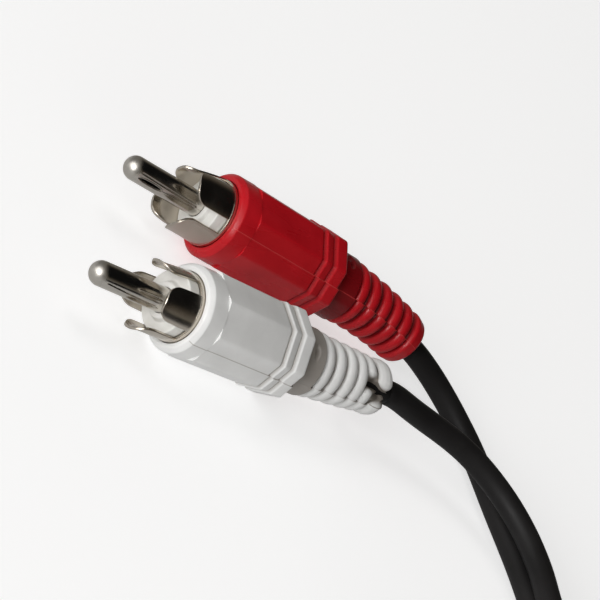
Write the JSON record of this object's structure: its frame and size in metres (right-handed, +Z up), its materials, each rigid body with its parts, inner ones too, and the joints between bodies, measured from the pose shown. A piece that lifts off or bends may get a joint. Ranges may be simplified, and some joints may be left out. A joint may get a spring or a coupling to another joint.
{
  "type": "rca audio cable",
  "caption": "Stereo phono lead: moulded plugs with slotted outer contacts and ribbed strain reliefs on two thin round cords, with the spare length coiled and tied.",
  "frame": {"origin": "on the surface that the lead lies on, below the middle of the box round the two near plugs", "axes": "+Z is up, and the white near plug points along -Y"},
  "size_m": [0.1478, 0.0811, 0.0151],
  "materials": {
    "nickel": "bright nickel plate on folded and drawn sheet brass",
    "insulator": "satin off-white moulding",
    "white_moulding": "fine-grained soft vinyl, satin",
    "red_moulding": "semi-gloss soft vinyl",
    "cord_jacket": "satin black vinyl jacket",
    "core_cover": "natural polyethylene",
    "copper": "bare twisted copper",
    "tie": "satin black strap"
  },
  "bodies": {
    "root": {"white_near_pin": "nickel", "white_near_sleeve": "nickel", "white_near_insulator": "insulator", "white_near_boot": "white_moulding", "white_near_lead_end": "cord_jacket", "white_near_conductor": "core_cover", "white_near_screen": "copper", "red_near_pin": "nickel", "red_near_sleeve": "nickel", "red_near_insulator": "insulator", "red_near_boot": "red_moulding", "red_near_lead_end": "cord_jacket", "red_near_conductor": "core_cover", "red_near_screen": "copper", "white_far_pin": "nickel", "white_far_sleeve": "nickel", "white_far_insulator": "insulator", "white_far_boot": "white_moulding", "white_far_lead_end": "cord_jacket", "white_far_conductor": "core_cover", "white_far_screen": "copper", "red_far_pin": "nickel", "red_far_sleeve": "nickel", "red_far_insulator": "insulator", "red_far_boot": "red_moulding", "red_far_lead_end": "cord_jacket", "red_far_conductor": "core_cover", "red_far_screen": "copper", "white_cord_near": "cord_jacket", "red_cord_near": "cord_jacket", "white_cord_far": "cord_jacket", "red_cord_far": "cord_jacket", "red_coil": "cord_jacket", "white_coil": "cord_jacket", "coil_tie": "tie"}
  },
  "joints": []
}
